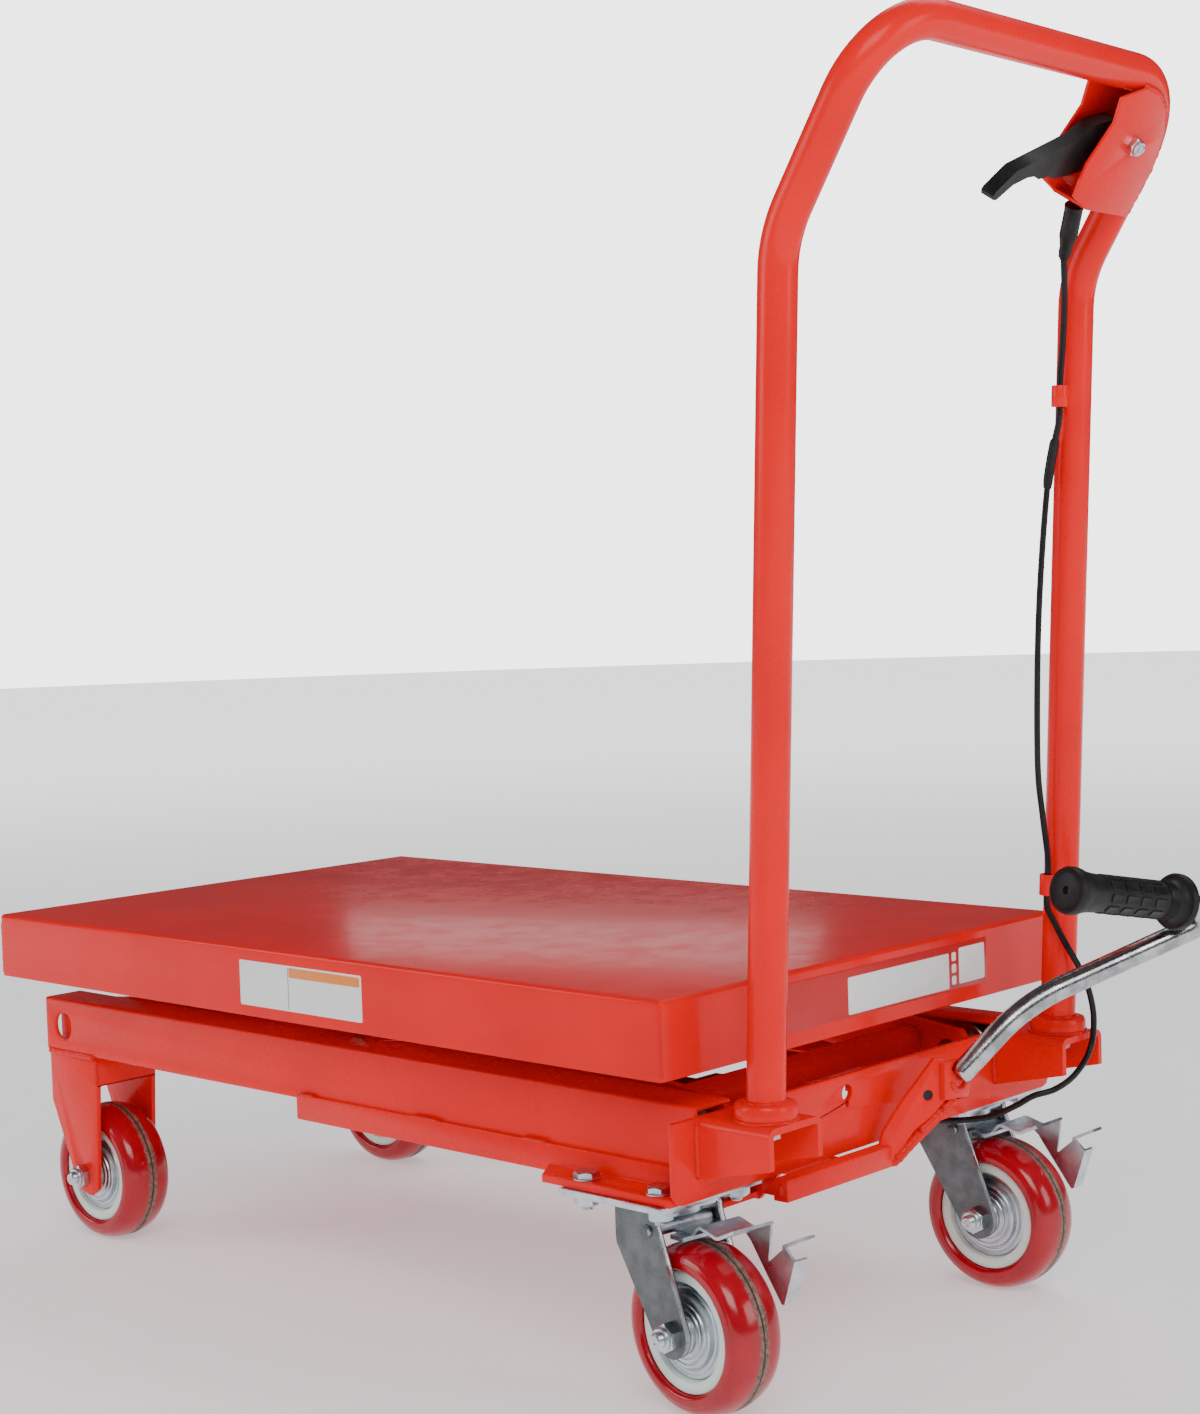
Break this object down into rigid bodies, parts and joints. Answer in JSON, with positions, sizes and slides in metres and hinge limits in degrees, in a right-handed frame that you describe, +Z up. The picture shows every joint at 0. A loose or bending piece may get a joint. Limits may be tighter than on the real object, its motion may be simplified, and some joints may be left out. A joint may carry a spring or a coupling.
{
  "type": "scissor lift table cart",
  "caption": "Hydraulic scissor lift table cart: flat deck on a single scissor, two fixed and two braked swivel wheels, push handle, foot pump and hand release lever.",
  "frame": {"origin": "on the floor under the middle of the whole cart's bounding box, deck lowered", "axes": "+X towards the push handle, +Y to the side of the hand lever, +Z up"},
  "size_m": [1.0098, 0.5, 0.9775],
  "materials": {
    "red_paint": "gloss powder coat",
    "zinc": "zinc plated",
    "chrome": "chromed, scratched",
    "tyre_red": "glossy polyurethane",
    "core_white": "moulded",
    "black_paint": "satin",
    "steel": "machined",
    "black_rubber": "moulded, matt",
    "black_plastic": "moulded",
    "cable_black": "cable sheath"
  },
  "bodies": {
    "root": {"rail_left": "red_paint", "rail_right": "red_paint", "caster_ledges": "red_paint", "end_plate": "red_paint", "cross_beams": "red_paint", "fixed_forks": "red_paint", "fixed_axles": "zinc", "handle_brackets": "red_paint", "handle_tube": "red_paint", "handle_collars": "red_paint", "handle_bolts": "zinc", "lever_bracket": "red_paint", "cable_clips": "red_paint", "release_cable": "cable_black", "cable_boot": "black_rubber", "caster_plates": "zinc", "caster_bolts": "zinc", "base_pivot_pins": "red_paint", "pump_body": "black_paint", "oil_tank": "black_paint", "hydraulic_pins": "steel"},
    "outer_arms": {"outer_arm_left": "red_paint", "outer_arm_right": "red_paint", "outer_cross_tube": "red_paint", "centre_pins": "steel", "deck_roller_pins": "steel"},
    "inner_arms": {"inner_arm_left": "red_paint", "inner_arm_right": "red_paint", "inner_cross_tubes": "red_paint", "base_roller_pins": "steel"},
    "base_roller_pair": {"base_rollers": "steel"},
    "deck_roller_pair": {"deck_rollers": "steel"},
    "deck": {"deck_tray": "red_paint", "deck_channels": "red_paint", "deck_pivot_lugs": "red_paint"},
    "cylinder": {"cylinder_barrel": "black_paint"},
    "ram": {"ram_rod": "chrome"},
    "pedal": {"pedal_arm": "red_paint", "pedal_rod": "chrome", "pedal_grip": "black_rubber"},
    "plunger": {"pump_piston": "steel"},
    "release_lever": {"hand_lever": "black_plastic"},
    "swivel_left": {"swivel_fork_left": "zinc", "swivel_axle_left": "zinc"},
    "brake_left": {"brake_lever_left": "zinc"},
    "wheel_front_left": {"front_left_tyre": "tyre_red", "front_left_core": "core_white", "front_left_covers": "zinc"},
    "wheel_rear_left": {"rear_left_tyre": "tyre_red", "rear_left_core": "core_white", "rear_left_covers": "zinc"},
    "swivel_right": {"swivel_fork_right": "zinc", "swivel_axle_right": "zinc"},
    "brake_right": {"brake_lever_right": "zinc"},
    "wheel_front_right": {"front_right_tyre": "tyre_red", "front_right_core": "core_white", "front_right_covers": "zinc"},
    "wheel_rear_right": {"rear_right_tyre": "tyre_red", "rear_right_core": "core_white", "rear_right_covers": "zinc"}
  },
  "joints": [
    {"name": "lift", "type": "hinge", "parent": "root", "child": "outer_arms", "pos_m": [-0.4623, 0, 0.201], "axis": [0, -1, 0], "range_deg": [0, 58.36]},
    {"name": "scissor", "type": "hinge", "parent": "outer_arms", "child": "inner_arms", "pos_m": [-0.09201, 0, 0.2415], "axis": [0, -1, 0], "range_deg": [-116.74, 0]},
    {"name": "deck_hinge", "type": "hinge", "parent": "inner_arms", "child": "deck", "pos_m": [-0.4623, 0, 0.282], "axis": [0, -1, 0], "range_deg": [0, 58.37]},
    {"name": "base_rollers_spin", "type": "hinge", "parent": "inner_arms", "child": "base_roller_pair", "pos_m": [0.27828, 0, 0.201], "axis": [0, 1, 0], "continuous": true},
    {"name": "deck_rollers_spin", "type": "hinge", "parent": "outer_arms", "child": "deck_roller_pair", "pos_m": [0.27828, 0, 0.282], "axis": [0, 1, 0], "continuous": true},
    {"name": "cylinder_tilt", "type": "hinge", "parent": "root", "child": "cylinder", "pos_m": [-0.2623, 0, 0.135], "axis": [0, -1, 0], "range_deg": [0, 63.79]},
    {"name": "ram_stroke", "type": "slide", "parent": "cylinder", "child": "ram", "axis": [0.8939, 0, 0.4482], "range_m": [0, 0.09816]},
    {"name": "pedal_press", "type": "hinge", "parent": "root", "child": "pedal", "pos_m": [0.2227, 0, 0.15], "axis": [0, 1, 0], "range_deg": [0, 20], "stiffness_Nm_per_rad": 6, "springref_deg": -28.65},
    {"name": "plunger_stroke", "type": "slide", "parent": "root", "child": "plunger", "axis": [0, 0, 1], "range_m": [0, 0.02443]},
    {"name": "lever_pull", "type": "hinge", "parent": "root", "child": "release_lever", "pos_m": [0.45454, 0.146, 0.92245], "axis": [-0.8387, 0, 0.5446], "range_deg": [0, 18], "stiffness_Nm_per_rad": 1, "springref_deg": -17.19},
    {"name": "swivel_turn_left", "type": "hinge", "parent": "root", "child": "swivel_left", "pos_m": [0.2582, -0.187, 0.15], "axis": [0, 0, 1], "continuous": true},
    {"name": "wheel_spin_front_left", "type": "hinge", "parent": "swivel_left", "child": "wheel_front_left", "pos_m": [0.29989, -0.19212, 0.0625], "axis": [0.1219, 0.9925, 0], "continuous": true},
    {"name": "wheel_spin_rear_left", "type": "hinge", "parent": "root", "child": "wheel_rear_left", "pos_m": [-0.4423, -0.175, 0.0625], "axis": [0, 1, 0], "continuous": true},
    {"name": "brake_press_left", "type": "hinge", "parent": "swivel_left", "child": "brake_left", "pos_m": [0.27805, -0.18944, 0.134], "axis": [0.1219, 0.9925, 0], "range_deg": [0, 6]},
    {"name": "swivel_turn_right", "type": "hinge", "parent": "root", "child": "swivel_right", "pos_m": [0.2582, 0.187, 0.15], "axis": [0, 0, 1], "continuous": true},
    {"name": "wheel_spin_front_right", "type": "hinge", "parent": "swivel_right", "child": "wheel_front_right", "pos_m": [0.3002, 0.187, 0.0625], "axis": [0, 1, 0], "continuous": true},
    {"name": "wheel_spin_rear_right", "type": "hinge", "parent": "root", "child": "wheel_rear_right", "pos_m": [-0.4423, 0.175, 0.0625], "axis": [0, 1, 0], "continuous": true},
    {"name": "brake_press_right", "type": "hinge", "parent": "swivel_right", "child": "brake_right", "pos_m": [0.2782, 0.187, 0.134], "axis": [0, 1, 0], "range_deg": [0, 6]}
  ],
  "couplings": [
    {"joint": "scissor", "follows": "lift", "ratio": -2},
    {"joint": "deck_hinge", "follows": "lift", "ratio": 1},
    {"joint": "cylinder_tilt", "follows": "lift", "ratio": 1.0922},
    {"joint": "ram_stroke", "follows": "lift", "m_per_rad": 0.09627},
    {"joint": "plunger_stroke", "follows": "pedal_press", "m_per_rad": 0.0694}
  ]
}
